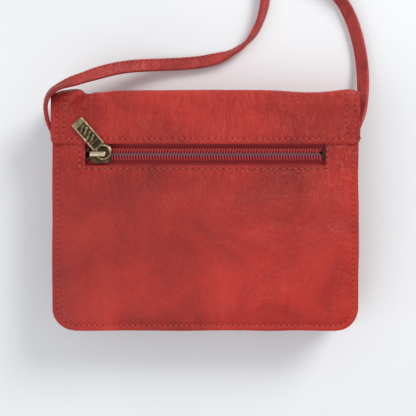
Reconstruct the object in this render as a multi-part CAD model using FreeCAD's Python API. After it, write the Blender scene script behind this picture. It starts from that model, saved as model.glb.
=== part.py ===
import FreeCAD, Part
import math
import os

# Small leather crossbody flap bag, lying on its flap. Millimetres.
# X runs along the zip, Y towards the fold at the top of the bag, Z out of the back panel.
# The origin is the middle of the face that the bag rests on.

# ---- driving sizes ----
BAG_WIDTH = 184.0
BAG_HEIGHT = 144.6
BOTTOM_CORNER_R = 14.0
TOP_CORNER_R = 3.0
LEATHER = 1.4
LINING = 0.6
STIFFENER = 0.5
GUSSET_DEPTH = 16.9
GUSSET_INSET = 6.0
GUSSET_LEATHER = 1.2
MOUTH_DROP = 8.0
BINDING_HEIGHT = 6.0
BINDING_WALL = 0.8

FLAP_REAR_DROP = 32.4
FLAP_OVERHANG = 0.6
FLAP_ABOVE_BOTTOM = 22.6
FLAP_CORNER_R = 22.0
FOLD_GAP = 1.6
SPINE_GAP = 1.0
LINING_MARGIN = 2.5
STIFFENER_MARGIN = 2.0

FRONT_POCKET_SIDE = 19.0
FRONT_POCKET_BELOW_MOUTH = 26.6
FRONT_POCKET_DEPTH = 5.2
FRONT_POCKET_LIFT = 12.0

SNAP_ABOVE_FLAP_EDGE = 23.7
SNAP_R = 8.0
SNAP_DISC = 1.0
SNAP_NOSE_R = 2.6
SNAP_NOSE = 1.0
SOCKET_DISC = 1.6
SOCKET_FLOOR = 0.8
SOCKET_WALL = 0.5
WASHER = 0.5

WINDOW_SIDE = 20.0
WINDOW_HEIGHT = 14.5
WINDOW_CORNER_R = 1.6
WINDOW_BELOW_TOP = 30.8
ZIP_BELOW_TOP = 38.7
TAPE = 0.6
TAPE_WIDTH = 13.0
TAPE_TAIL = 4.0
TAPE_GAP = 1.75
CHAIN_WIDTH = 7.8
CHAIN_THICK = 2.0
TOOTH_PITCH = 1.665
TOOTH_SHARE = 0.44
TOOTH_REACH = 0.6
TOOTH_ROOT = 0.15
STOP_LENGTH = 1.4
STOP_WIDTH = 1.8
STOP_HEIGHT = 1.7
STOP_INSET = 0.3

SLIDER_LENGTH = 13.2
SLIDER_WIDTH = 10.7
SLIDER_PLATE = 1.05
SLIDER_LOW_PLATE = 0.9
SLIDER_NOSE_R = 4.6
SLIDER_TAIL_R = 2.2
SLIDER_WEDGE = 3.4
SLIDER_NOSE_GAP = 2.4
SLIDER_COVER = 5.0
BRIDGE_SETBACK = 0.75
BRIDGE_LENGTH = 9.6
BRIDGE_WIDTH = 2.8
BRIDGE_FOOT_R = 0.8
BRIDGE_BAR = 1.2
PULL_THICK = 1.1
PULL_PLATE_LENGTH = 20.7
PULL_PLATE_WIDTH = 8.1
PULL_EYE_R = 4.9
PULL_HOLE_R = 3.4
PULL_BORDER = 0.8
PULL_RECESS = 0.35
PULL_CORNER_R = 0.7
PULL_OVERLAP = 1.0
PULL_ANGLE = 131.2
PULL_LEAN = 121.2
PULL_PLAY = 1.5

ZIP_POCKET_MARGIN = 7.0
ZIP_POCKET_ABOVE = 5.0
ZIP_POCKET_LIFT = 14.8
ZIP_POCKET_DEPTH = 5.75
ZIP_POCKET_R = 10.0
ZIP_POCKET_TOP_R = 4.0

STRAP_WIDTH = 8.0
STRAP_THICK = 2.8
STRAP_TUBE_R = 2.65
STRAP_END_LENGTH = 18.0
STRAP_END_BELOW_TOP = 38.3
ROLL_CENTRE = (84.0, 188.0)
ROLL_R = 44.5
ROLL_HEIGHT = 8.2

# ---- clearances ----
SKIN_GAP = 0.1
PLATE_GAP = 0.25
MOVING_GAP = 0.3
PAST = 1.0
FAR = 20.0

# ---- levels, counted up from the table ----
Z_STIFFENER = LEATHER
Z_FLAP_LINING = Z_STIFFENER + STIFFENER
Z_SNAP = Z_FLAP_LINING + LINING
Z_SOCKET = Z_SNAP + SNAP_DISC + MOVING_GAP
Z_POCKET = Z_SOCKET + SOCKET_DISC
Z_FRONT = Z_POCKET + LEATHER + FRONT_POCKET_DEPTH
Z_GUSSET = Z_FRONT + LEATHER
Z_BACK = Z_GUSSET + GUSSET_DEPTH
Z_FLAP_REAR = Z_BACK + LEATHER
Z_TOP = Z_FLAP_REAR + LEATHER
Z_TAPE = Z_BACK - SKIN_GAP - TAPE
Z_COIL = Z_TAPE + TAPE
Z_SLIDER = Z_COIL + CHAIN_THICK + PLATE_GAP
Z_PULL = Z_SLIDER + SLIDER_PLATE + PLATE_GAP
Z_BRIDGE = Z_PULL + PULL_THICK + MOVING_GAP

# ---- places in the panel's plane ----
TOP_Y = BAG_HEIGHT / 2
BOTTOM_Y = -BAG_HEIGHT / 2
HALF_W = BAG_WIDTH / 2
SPINE_MID_Y = TOP_Y - LEATHER / 2
PANEL_TOP_Y = SPINE_MID_Y - FOLD_GAP
MOUTH_Y = TOP_Y - MOUTH_DROP
ZIP_Y = TOP_Y - ZIP_BELOW_TOP
WINDOW_TOP_Y = TOP_Y - WINDOW_BELOW_TOP
WINDOW_BOTTOM_Y = WINDOW_TOP_Y - WINDOW_HEIGHT
FLAP_REAR_Y = TOP_Y - FLAP_REAR_DROP
FLAP_BOTTOM_Y = BOTTOM_Y + FLAP_ABOVE_BOTTOM
SNAP_Y = FLAP_BOTTOM_Y + SNAP_ABOVE_FLAP_EDGE
WINDOW_HALF = HALF_W - WINDOW_SIDE
BOTTOM_STOP_X = WINDOW_HALF - STOP_INSET - STOP_LENGTH
SLIDER_X0 = -WINDOW_HALF + SLIDER_NOSE_GAP
SLIDER_X1 = SLIDER_X0 + SLIDER_LENGTH
BRIDGE_X0 = SLIDER_X0 + BRIDGE_SETBACK
BRIDGE_X1 = BRIDGE_X0 + BRIDGE_LENGTH
FOOT_L_X = BRIDGE_X0 + BRIDGE_FOOT_R
FOOT_R_X = BRIDGE_X1 - BRIDGE_FOOT_R
STRAP_END_TOP_Y = TOP_Y - STRAP_END_BELOW_TOP
STRAP_END_X = HALF_W - GUSSET_INSET
STRAP_Z = Z_GUSSET + GUSSET_DEPTH / 2


def vec(x, y, z=0.0):
    return FreeCAD.Vector(x, y, z)


def box(x0, x1, y0, y1, z0, z1):
    return Part.makeBox(x1 - x0, y1 - y0, z1 - z0, vec(x0, y0, z0))


def disc(r, x, y, z0, height):
    return Part.makeCylinder(r, height, vec(x, y, z0))


def rounded_outline(half_w, y0, y1, r_bottom, r_top):
    """Closed outline, rounded at the bottom (y0) and at the top (y1) corners."""
    def corner(cx, cy, r, start):
        mid = math.radians(start + 45)
        a = vec(cx + r * math.cos(math.radians(start)), cy + r * math.sin(math.radians(start)))
        m = vec(cx + r * math.cos(mid), cy + r * math.sin(mid))
        b = vec(cx + r * math.cos(math.radians(start + 90)), cy + r * math.sin(math.radians(start + 90)))
        return a, Part.Arc(a, m, b).toShape(), b

    corners = [
        corner(half_w - r_bottom, y0 + r_bottom, r_bottom, 270),
        corner(half_w - r_top, y1 - r_top, r_top, 0),
        corner(-half_w + r_top, y1 - r_top, r_top, 90),
        corner(-half_w + r_bottom, y0 + r_bottom, r_bottom, 180),
    ]
    edges = []
    for i, (_, arc, end) in enumerate(corners):
        following = corners[(i + 1) % 4][0]
        edges.append(arc)
        edges.append(Part.LineSegment(end, following).toShape())
    return Part.Wire(edges)


def slab(half_w, y0, y1, r_bottom, r_top, z0, z1):
    """Flat plate of the rounded outline between two levels."""
    face = Part.Face(rounded_outline(half_w, y0, y1, r_bottom, r_top))
    face.translate(vec(0, 0, z0))
    return face.extrude(vec(0, 0, z1 - z0))


def inset_slab(inset, y1, z0, z1):
    """Plate of the bag's outline, moved in by inset, and cut level at y1."""
    r = max(BOTTOM_CORNER_R - inset, 1.0)
    return slab(HALF_W - inset, BOTTOM_Y + inset, y1, r, 0.5, z0, z1)


# ---- shell ----
def back_panel():
    plate = slab(HALF_W, BOTTOM_Y, PANEL_TOP_Y, BOTTOM_CORNER_R, TOP_CORNER_R, Z_BACK, Z_FLAP_REAR)
    r = WINDOW_CORNER_R
    hole = slab(WINDOW_HALF, WINDOW_BOTTOM_Y, WINDOW_TOP_Y, r, r, Z_BACK - PAST, Z_FLAP_REAR + PAST)
    return plate.cut(hole)


def front_panel():
    return slab(HALF_W, BOTTOM_Y, MOUTH_Y, BOTTOM_CORNER_R, TOP_CORNER_R, Z_FRONT, Z_GUSSET)


def mouth_binding():
    """Folded strip over the top edge of the front panel."""
    half = HALF_W - GUSSET_INSET - GUSSET_LEATHER - MOVING_GAP
    y0 = MOUTH_Y - BINDING_HEIGHT
    strip = box(-half, half, y0, MOUTH_Y + BINDING_WALL, Z_FRONT - BINDING_WALL, Z_GUSSET + BINDING_WALL)
    return strip.cut(box(-half - PAST, half + PAST, y0 - PAST, MOUTH_Y, Z_FRONT, Z_GUSSET))


def gusset_ring():
    """Wall round the sides and bottom, with its edges turned outwards along both panels."""
    wall_in = GUSSET_INSET + GUSSET_LEATHER
    top = MOUTH_Y
    wall = inset_slab(GUSSET_INSET, top, Z_GUSSET, Z_BACK)
    front_edge = inset_slab(0, top, Z_GUSSET, Z_GUSSET + GUSSET_LEATHER)
    back_edge = inset_slab(0, top, Z_BACK - GUSSET_LEATHER, Z_BACK)
    inside = inset_slab(wall_in, top + FAR, Z_GUSSET - PAST, Z_BACK + PAST)
    return wall.fuse([front_edge, back_edge]).removeSplitter().cut(inside)


def gusset_pieces():
    ring = gusset_ring()
    split_y = BOTTOM_Y + BOTTOM_CORNER_R + 4
    far = BAG_WIDTH
    left = ring.common(box(-far, 0, split_y, far, 0, Z_TOP))
    right = ring.common(box(0, far, split_y, far, 0, Z_TOP))
    bottom = ring.common(box(-far, far, -far, split_y, 0, Z_TOP))
    return {"gusset_left": left, "gusset_right": right, "gusset_bottom": bottom}


def front_pocket():
    """Patch pocket with a shallow wall on three sides, open at the top."""
    half = HALF_W - FRONT_POCKET_SIDE
    y0 = BOTTOM_Y + FRONT_POCKET_LIFT
    y1 = MOUTH_Y - FRONT_POCKET_BELOW_MOUTH
    wall = GUSSET_LEATHER
    outer = slab(half, y0, y1, BOTTOM_CORNER_R, 1.0, Z_POCKET, Z_FRONT)
    r_in = BOTTOM_CORNER_R - wall
    inner = slab(half - wall, y0 + wall, y1 + FAR, r_in, 1.0, Z_POCKET + LEATHER, Z_FRONT + PAST)
    return outer.cut(inner)


# ---- linings ----
def main_lining():
    wall = GUSSET_INSET + GUSSET_LEATHER + SKIN_GAP
    top = MOUTH_Y - BINDING_HEIGHT - 1
    z0 = Z_GUSSET + SKIN_GAP
    z1 = pocket_bag_level() - 2 * SKIN_GAP
    outer = inset_slab(wall, top, z0, z1)
    inner = inset_slab(wall + LINING, top + FAR, z0 + LINING, z1 - LINING)
    return outer.cut(inner)


def pocket_bag_level():
    """Level of the inner sheet of the zip pocket."""
    return Z_TAPE - LINING - ZIP_POCKET_DEPTH


def zip_pocket_bag():
    """Fabric tray behind the zip window."""
    half = WINDOW_HALF + ZIP_POCKET_MARGIN
    y1 = WINDOW_TOP_Y + ZIP_POCKET_ABOVE
    y0 = BOTTOM_Y + ZIP_POCKET_LIFT
    z0 = pocket_bag_level()
    outer = slab(half, y0, y1, ZIP_POCKET_R, ZIP_POCKET_TOP_R, z0, Z_TAPE - SKIN_GAP)
    r_low = ZIP_POCKET_R - LINING
    r_top = ZIP_POCKET_TOP_R - LINING
    inner = slab(half - LINING, y0 + LINING, y1 - LINING, r_low, r_top, z0 + LINING, Z_TAPE + PAST)
    return outer.cut(inner)


# ---- zip ----
def zip_tape(side):
    """One woven tape; side is +1 above the chain, -1 below it."""
    half = WINDOW_HALF + TAPE_TAIL
    near = ZIP_Y + side * TAPE_GAP
    far = ZIP_Y + side * TAPE_WIDTH
    return box(-half, half, min(near, far), max(near, far), Z_TAPE, Z_COIL)


def zip_coil(side):
    """One row of teeth as a comb, meshing with the other row."""
    start = SLIDER_X0 + SLIDER_COVER
    room = BOTTOM_STOP_X - SKIN_GAP - start - PLATE_GAP - TOOTH_PITCH / 2
    count = int(room / TOOTH_PITCH)
    tooth = TOOTH_PITCH * TOOTH_SHARE
    shift = 0.0 if side > 0 else TOOTH_PITCH / 2
    outer = ZIP_Y + side * CHAIN_WIDTH / 2
    root = ZIP_Y + side * (TOOTH_REACH + TOOTH_ROOT)
    tip = ZIP_Y - side * TOOTH_REACH
    points = [vec(start, outer), vec(start, root)]
    for i in range(count):
        x = start + SKIN_GAP + shift + i * TOOTH_PITCH
        points += [vec(x, root), vec(x, tip), vec(x + tooth, tip), vec(x + tooth, root)]
    x_end = start + PLATE_GAP + shift + count * TOOTH_PITCH
    points += [vec(x_end, root), vec(x_end, outer), points[0]]
    face = Part.Face(Part.makePolygon(points))
    face.translate(vec(0, 0, Z_COIL))
    return face.extrude(vec(0, 0, CHAIN_THICK))


def zip_top_stops():
    """Two crimped stops at the closed end, one on each tape."""
    x1 = SLIDER_X0 - MOVING_GAP
    stops = []
    for side in (1, -1):
        near = ZIP_Y + side * (TAPE_GAP + SKIN_GAP)
        far = near + side * STOP_WIDTH
        stops.append(box(x1 - STOP_LENGTH, x1, min(near, far), max(near, far), Z_COIL, Z_COIL + STOP_HEIGHT))
    return Part.makeCompound(stops)


def zip_bottom_stop():
    x0 = BOTTOM_STOP_X
    half = CHAIN_WIDTH / 2 - STOP_INSET
    return box(x0, x0 + STOP_LENGTH, ZIP_Y - half, ZIP_Y + half, Z_COIL, Z_COIL + STOP_HEIGHT)


def slider_travel():
    return BOTTOM_STOP_X - MOVING_GAP - SLIDER_X1


def slider_plate(inset, z0, z1):
    """Plate with a wide round nose at the left and small corners at the tail."""
    half = SLIDER_WIDTH / 2 - inset
    length = SLIDER_LENGTH - 2 * inset
    plate = slab(half, 0, length, SLIDER_TAIL_R, SLIDER_NOSE_R - inset, z0, z1)
    plate.rotate(vec(0, 0), vec(0, 0, 1), 90)
    plate.translate(vec(SLIDER_X1 - inset, ZIP_Y))
    return plate


def slider():
    """Top and bottom plates joined by the wedge at the nose, with the bridge for the pull."""
    sunk = SLIDER_PLATE / 3
    z_low = Z_TAPE - MOVING_GAP
    top = slider_plate(0, Z_SLIDER, Z_SLIDER + SLIDER_PLATE)
    low = slider_plate(2 * PLATE_GAP, z_low - SLIDER_LOW_PLATE, z_low)
    body = top.fuse([low, wedge(z_low - sunk, Z_SLIDER + sunk)])
    for side in (1, -1):
        y0 = ZIP_Y + side * (CHAIN_WIDTH / 2 + PLATE_GAP)
        y1 = ZIP_Y + side * SLIDER_WIDTH / 2
        x1 = SLIDER_X1 - SLIDER_TAIL_R
        lip = box(x1 - SLIDER_LENGTH / 3, x1, min(y0, y1), max(y0, y1), Z_COIL + MOVING_GAP, Z_SLIDER + sunk)
        body = body.fuse(lip)
    z_foot = Z_SLIDER + SLIDER_PLATE - sunk
    for foot in (FOOT_L_X, FOOT_R_X):
        body = body.fuse(disc(BRIDGE_FOOT_R, foot, ZIP_Y, z_foot, Z_BRIDGE + sunk - z_foot))
    half = BRIDGE_WIDTH / 2
    bar = box(BRIDGE_X0, BRIDGE_X1, ZIP_Y - half, ZIP_Y + half, Z_BRIDGE, Z_BRIDGE + BRIDGE_BAR)
    return body.fuse(bar).removeSplitter()


def wedge(z0, z1):
    """Diamond post between the two tooth rows."""
    half = TAPE_GAP - MOVING_GAP
    x = SLIDER_X0 + BRIDGE_SETBACK
    wide_x = x + SLIDER_WEDGE / 3
    points = [vec(x, ZIP_Y - half / 2), vec(x, ZIP_Y + half / 2), vec(wide_x, ZIP_Y + half),
              vec(x + SLIDER_WEDGE, ZIP_Y), vec(wide_x, ZIP_Y - half)]
    face = Part.Face(Part.makePolygon(points + points[:1]))
    face.translate(vec(0, 0, z0))
    return face.extrude(vec(0, 0, z1 - z0))


def pull_tab():
    """Plate with a raised border, and a round eye that is held under the bridge."""
    z0 = Z_PULL
    z1 = z0 + PULL_THICK
    half = PULL_PLATE_WIDTH / 2
    x0 = PULL_EYE_R - PULL_OVERLAP
    x1 = x0 + PULL_PLATE_LENGTH
    plate = box(x0, x1, -half, half, z0, z1)
    upright = [e for e in plate.Edges if e.Vertexes[0].Z != e.Vertexes[1].Z]
    plate = plate.makeFillet(PULL_CORNER_R, upright)
    edge = PULL_BORDER
    recess = box(x0 + edge, x1 - edge, -half + edge, half - edge, z1 - PULL_RECESS, z1 + PAST)
    eye = disc(PULL_EYE_R, 0, 0, z0, PULL_THICK).fuse(plate)
    hole = disc(PULL_HOLE_R, 0, 0, z0 - PAST, PULL_THICK + 2 * PAST)
    pull = eye.cut(hole).cut(recess).removeSplitter()
    pull.rotate(vec(0, 0), vec(0, 0, 1), PULL_ANGLE)
    pull.translate(pull_eye_centre())
    return pull


def pull_eye_centre():
    """The eye hangs against the right foot of the bridge, leaning to the upper left."""
    lean = math.radians(PULL_LEAN)
    return vec(FOOT_R_X + PULL_PLAY * math.cos(lean), ZIP_Y + PULL_PLAY * math.sin(lean))


# ---- flap ----
def flap_rear():
    """Part of the flap that is sewn to the back panel."""
    half = HALF_W + FLAP_OVERHANG
    return slab(half, FLAP_REAR_Y, PANEL_TOP_Y, TOP_CORNER_R, TOP_CORNER_R, Z_FLAP_REAR, Z_TOP)


def flap_spine():
    """Part of the flap that crosses the top of the bag between its two folds."""
    half = HALF_W + FLAP_OVERHANG
    z0 = LEATHER / 2 + SPINE_GAP
    z1 = Z_TOP - LEATHER / 2 - SPINE_GAP
    return box(-half, half, TOP_Y - LEATHER, TOP_Y, z0, z1)


def flap_sheet(margin, z0, z1):
    half = HALF_W + FLAP_OVERHANG - margin
    y1 = PANEL_TOP_Y - margin
    return slab(half, FLAP_BOTTOM_Y + margin, y1, FLAP_CORNER_R - margin, 1.0, z0, z1)


def flap_front():
    return flap_sheet(0, 0, LEATHER)


def flap_stiffener():
    sheet = flap_sheet(LINING_MARGIN + STIFFENER_MARGIN, Z_STIFFENER, Z_FLAP_LINING)
    return sheet.cut(disc(SNAP_R + MOVING_GAP, 0, SNAP_Y, Z_STIFFENER - PAST, STIFFENER + 2 * PAST))


def flap_lining():
    return flap_sheet(LINING_MARGIN, Z_FLAP_LINING, Z_SNAP)


# ---- magnetic snap ----
def snap_stud():
    base = disc(SNAP_R - SOCKET_WALL, 0, SNAP_Y, Z_SNAP, SNAP_DISC)
    return base.fuse(disc(SNAP_NOSE_R, 0, SNAP_Y, Z_SNAP, SNAP_DISC + SNAP_NOSE)).removeSplitter()


def snap_stud_washer():
    return disc(SNAP_R, 0, SNAP_Y, Z_STIFFENER, WASHER)


def snap_socket():
    ring = disc(SNAP_R + SOCKET_WALL, 0, SNAP_Y, Z_SOCKET, SOCKET_DISC)
    depth = SOCKET_DISC - SOCKET_FLOOR
    return ring.cut(disc(SNAP_NOSE_R + SOCKET_WALL, 0, SNAP_Y, Z_SOCKET - PAST, depth + PAST))


def snap_socket_washer():
    return disc(SNAP_R, 0, SNAP_Y, Z_POCKET + LEATHER, WASHER)


# ---- strap ----
# Hand-chosen route of the strap's left and right stretches, from the sewn ends to the roll.
LEFT_ROUTE = [
    (-88.8, 34.0, 21.85), (-89.8, 39.8, 21.9), (-92.6, 45.6, 22.6), (-95.2, 51.6, 26.0),
    (-96.0, 58.0, 30.8), (-95.3, 64.3, 35.0), (-92.2, 69.7, 37.9), (-86.6, 73.3, 38.9),
    (-78.8, 76.4, 37.8), (-70.2, 80.2, 33.6), (-61.4, 84.6, 26.8), (-51.8, 88.5, 19.0),
    (-41.4, 91.0, 12.0), (-29.0, 92.5, 6.8), (-15.0, 93.6, 4.2), (0.0, 95.2, 3.6),
    (14.6, 99.2, 3.8), (26.2, 106.6, 4.0), (33.4, 116.8, 4.2), (37.4, 129.0, 4.2),
    (39.2, 142.8, 4.2), (39.8, 157.6, 4.2), (39.7, 173.0, 4.2), (39.5, 188.0, 4.2),
]
RIGHT_ROUTE = [
    (88.8, 34.0, 21.85), (89.6, 40.6, 22.0), (92.2, 48.0, 21.2), (95.6, 57.2, 17.8),
    (98.6, 68.4, 12.2), (100.2, 81.6, 7.0), (99.8, 95.6, 4.4), (97.2, 110.0, 4.0),
    (92.8, 123.6, 4.0), (86.2, 135.4, 4.2), (76.8, 143.6, 4.2), (65.4, 147.8, 4.2),
]


def route_arcs(route):
    """Corner points, tangent lengths and radii of the arcs that join the straight runs."""
    points = [vec(*p) for p in route]
    arcs = []
    for a, b, c in zip(points, points[1:], points[2:]):
        turn = (b - a).getAngle(c - b)
        trim = 0.45 * min((b - a).Length, (c - b).Length)
        arcs.append((b, trim, trim / math.tan(turn / 2)))
    return points, arcs


def strap_tube(name, route):
    """Plain round tube with the strap's section area along its route."""
    points, arcs = route_arcs(route)
    edges = []
    last = points[0]
    for i, (corner, trim, _) in enumerate(arcs):
        back = (points[i] - corner).normalize()
        ahead = (points[i + 2] - corner).normalize()
        start = corner + back * trim
        end = corner + ahead * trim
        turn = math.pi - back.getAngle(ahead)
        across = (back + ahead).normalize()
        radius = trim / math.tan(turn / 2)
        middle = corner + across * (radius / math.cos(turn / 2) - radius)
        edges.append(Part.LineSegment(last, start).toShape())
        edges.append(Part.Arc(start, middle, end).toShape())
        last = end
    edges.append(Part.LineSegment(last, points[-1]).toShape())
    wire = Part.Wire(edges)
    normal = points[1] - points[0]
    ring = Part.Wire([Part.makeCircle(STRAP_TUBE_R, points[0], normal)])
    tube = wire.makePipeShell([ring], True, True)
    section = math.pi * STRAP_TUBE_R ** 2
    share = tube.Volume / (section * wire.Length)
    print(name, "length", round(wire.Length, 1), "volume share", round(share, 4))
    print(name, "radii", [round(r, 1) for _, _, r in arcs])
    return tube


def strap_roll():
    """Outer shape of the strap's rolled-up middle, lying on the table."""
    return disc(ROLL_R, ROLL_CENTRE[0], ROLL_CENTRE[1], 0.0, ROLL_HEIGHT)


def strap_end(side):
    """Doubled end of the strap, sewn flat to the side gusset."""
    near = side * STRAP_END_X
    far = side * (STRAP_END_X + 2 * STRAP_THICK)
    y1 = STRAP_END_TOP_Y
    z0 = STRAP_Z - STRAP_WIDTH / 2
    return box(min(near, far), max(near, far), y1 - STRAP_END_LENGTH, y1, z0, z0 + STRAP_WIDTH)


# ---- everything ----
def nodes():
    made = {
        "back_panel": back_panel(),
        "front_panel": front_panel(),
        "mouth_binding": mouth_binding(),
        "front_pocket": front_pocket(),
        "main_lining": main_lining(),
        "zip_pocket_bag": zip_pocket_bag(),
        "zip_tape_upper": zip_tape(1),
        "zip_tape_lower": zip_tape(-1),
        "zip_coil_upper": zip_coil(1),
        "zip_coil_lower": zip_coil(-1),
        "zip_top_stops": zip_top_stops(),
        "zip_bottom_stop": zip_bottom_stop(),
        "slider": slider(),
        "pull_tab": pull_tab(),
        "flap_rear": flap_rear(),
        "flap_spine": flap_spine(),
        "flap_front": flap_front(),
        "flap_stiffener": flap_stiffener(),
        "flap_lining": flap_lining(),
        "snap_stud": snap_stud(),
        "snap_stud_washer": snap_stud_washer(),
        "snap_socket": snap_socket(),
        "snap_socket_washer": snap_socket_washer(),
        "strap_end_left": strap_end(-1),
        "strap_end_right": strap_end(1),
        "strap_left": strap_tube("strap_left", LEFT_ROUTE),
        "strap_right": strap_tube("strap_right", RIGHT_ROUTE),
        "strap_roll": strap_roll(),
    }
    made.update(gusset_pieces())
    return made


def main():
    os.makedirs("parts", exist_ok=True)
    for name, shape in nodes().items():
        if not shape.isValid():
            raise ValueError(name + " is not a valid shape")
        shape.exportStep("parts/" + name + ".step")
    print("slider travel", round(slider_travel(), 2))
    print("levels", round(Z_FRONT, 2), round(Z_BACK, 2), round(Z_TOP, 2), round(Z_BRIDGE + BRIDGE_BAR, 2))
    print("strap level", round(STRAP_Z, 2), "bag sheet", round(pocket_bag_level(), 2))
    print("pull pivot", round(FOOT_R_X, 3), round(ZIP_Y, 3), "window top", round(WINDOW_TOP_Y, 2))


main()
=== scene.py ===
import math
import random
import bmesh
import bpy
from mathutils import Matrix, Vector, noise


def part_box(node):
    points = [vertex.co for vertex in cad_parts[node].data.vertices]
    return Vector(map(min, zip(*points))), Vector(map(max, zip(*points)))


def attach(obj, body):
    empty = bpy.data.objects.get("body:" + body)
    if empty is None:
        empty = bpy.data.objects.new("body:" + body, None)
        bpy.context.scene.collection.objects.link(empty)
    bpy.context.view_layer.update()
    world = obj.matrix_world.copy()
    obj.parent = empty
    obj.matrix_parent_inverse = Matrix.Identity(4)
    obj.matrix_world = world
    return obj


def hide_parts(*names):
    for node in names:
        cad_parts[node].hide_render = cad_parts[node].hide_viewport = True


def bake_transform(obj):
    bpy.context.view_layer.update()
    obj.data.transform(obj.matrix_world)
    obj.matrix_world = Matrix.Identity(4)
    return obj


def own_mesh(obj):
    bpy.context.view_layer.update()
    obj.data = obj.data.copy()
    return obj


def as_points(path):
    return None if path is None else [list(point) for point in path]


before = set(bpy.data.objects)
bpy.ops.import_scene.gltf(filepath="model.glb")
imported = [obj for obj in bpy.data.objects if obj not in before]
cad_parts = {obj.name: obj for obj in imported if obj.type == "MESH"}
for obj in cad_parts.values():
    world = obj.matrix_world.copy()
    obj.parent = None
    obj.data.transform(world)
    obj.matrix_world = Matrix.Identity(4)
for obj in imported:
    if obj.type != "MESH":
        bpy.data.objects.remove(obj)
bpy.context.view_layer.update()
MM = 0.001

# ---- places read from the frame, in metres ----
panel_lo, panel_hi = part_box("back_panel")
rear_lo, rear_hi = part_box("flap_rear")
_, spine_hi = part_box("flap_spine")
flap_lo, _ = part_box("flap_front")
coil_up_lo, coil_up_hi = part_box("zip_coil_upper")
coil_low_lo, coil_low_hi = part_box("zip_coil_lower")
slider_lo, slider_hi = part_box("slider")

HALF_W = panel_hi.x
BOTTOM_Y = panel_lo.y
LEATHER = panel_hi.z - panel_lo.z
ZIP_Y = (coil_up_hi.y + coil_low_lo.y) / 2
SEAM_MARGIN = 3.3 * MM
CORNER_R = 14 * MM
WINDOW_HALF = 72 * MM
WINDOW_BOTTOM = ZIP_Y - 6.6 * MM
WINDOW_TOP = WINDOW_BOTTOM + 14.5 * MM


# ---- small helpers ----
def smooth(low, high, x):
    """Smooth step from 0 at low to 1 at high."""
    t = min(max((x - low) / (high - low), 0.0), 1.0)
    return t * t * (3 - 2 * t)


def bump(x, centre, width):
    """Bell of height 1 round centre."""
    return math.exp(-((x - centre) / width) ** 2)


def ripple(x, y, size, seed):
    """Even noise from -1 to 1 whose lumps are about as wide as size."""
    return noise.noise(Vector((x / size, y / size, seed)))


def link_new(name, bm, material):
    """New smooth-shaded piece from a bmesh, which is used up."""
    mesh = bpy.data.meshes.new(name)
    bm.to_mesh(mesh)
    bm.free()
    for polygon in mesh.polygons:
        polygon.use_smooth = True
    piece = bpy.data.objects.new(name, mesh)
    bpy.context.scene.collection.objects.link(piece)
    if material is not None:
        mesh.materials.append(material)
    return piece


def sheet_mesh(columns, rows, place, kept=None, closed=False):
    """Grid laid out by place(u, v), from 0 to 1 both ways.

    kept(u, v) says which faces stay; closed welds the edges that meet and fills what stays open.
    """
    bm = bmesh.new()
    bmesh.ops.create_grid(bm, x_segments=columns, y_segments=rows, size=0.5, calc_uvs=True)
    if kept is not None:
        spare = [f for f in bm.faces if not kept(*centre_of(f))]
        bmesh.ops.delete(bm, geom=spare, context="FACES")
    for v in bm.verts:
        v.co = place(v.co.x + 0.5, v.co.y + 0.5)
    if closed:
        bmesh.ops.remove_doubles(bm, verts=bm.verts, dist=1e-6)
        bmesh.ops.holes_fill(bm, edges=[e for e in bm.edges if e.is_boundary], sides=0)
        bmesh.ops.recalc_face_normals(bm, faces=bm.faces)
    return bm


def centre_of(face):
    c = face.calc_center_median()
    return c.x + 0.5, c.y + 0.5


def thicken(piece, thickness, edge_bevel=0.0):
    """Gives an open sheet its wall, under its outer face, and softens the cut edges."""
    wall = piece.modifiers.new("wall", "SOLIDIFY")
    wall.thickness = thickness
    wall.offset = -1
    wall.use_even_offset = True
    if edge_bevel > 0:
        soften_edges(piece, edge_bevel)
    return piece


def soften_edges(piece, width):
    """Rounds the edges where two faces meet sharply."""
    soft = piece.modifiers.new("edge", "BEVEL")
    soft.width = width
    soft.segments = 2
    soft.limit_method = "ANGLE"
    soft.angle_limit = math.radians(50)


# ---- materials ----
def new_material(name):
    material = bpy.data.materials.new(name)
    material.use_nodes = True
    nodes = material.node_tree.nodes
    return material, nodes, material.node_tree.links, nodes["Principled BSDF"]


def add_node(nodes, kind, **values):
    node = nodes.new(kind)
    for key, value in values.items():
        if key in node.inputs:
            node.inputs[key].default_value = value
        else:
            setattr(node, key, value)
    return node


def ramp(nodes, links, source, stops):
    """Colour ramp fed by source; stops are (place, colour)."""
    node = nodes.new("ShaderNodeValToRGB")
    elements = node.color_ramp.elements
    elements[0].position, elements[0].color = stops[0][0], (*stops[0][1], 1)
    elements[1].position, elements[1].color = stops[-1][0], (*stops[-1][1], 1)
    for place, colour in stops[1:-1]:
        elements.new(place).color = (*colour, 1)
    links.new(source, node.inputs["Fac"])
    return node.outputs["Color"]


def grey_ramp(nodes, links, source, low, high, at=(0.0, 1.0)):
    return ramp(nodes, links, source, [(at[0], (low,) * 3), (at[1], (high,) * 3)])


def object_place(nodes):
    return nodes.new("ShaderNodeTexCoord").outputs["Object"]


def noise_at(nodes, links, place, **values):
    """Noise texture read at place."""
    node = add_node(nodes, "ShaderNodeTexNoise", **values)
    links.new(place, node.inputs["Vector"])
    return node


def multiply(nodes, links, below, over, factor):
    """One colour multiplied by another."""
    mix = add_node(nodes, "ShaderNodeMix", data_type="RGBA", blend_type="MULTIPLY")
    mix.inputs["Factor"].default_value = factor
    links.new(below, mix.inputs["A"])
    links.new(over, mix.inputs["B"])
    return mix.outputs["Result"]


def bump_over(nodes, links, height, normal=None, **values):
    """Bump from a height, laid over an earlier bump's normal where there is one."""
    node = add_node(nodes, "ShaderNodeBump", **values)
    links.new(height, node.inputs["Height"])
    if normal is not None:
        links.new(normal, node.inputs["Normal"])
    return node


def plain_material(name, colour, rough):
    material, _, _, shader = new_material(name)
    shader.inputs["Base Color"].default_value = (*colour, 1)
    shader.inputs["Roughness"].default_value = rough
    return material


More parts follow.
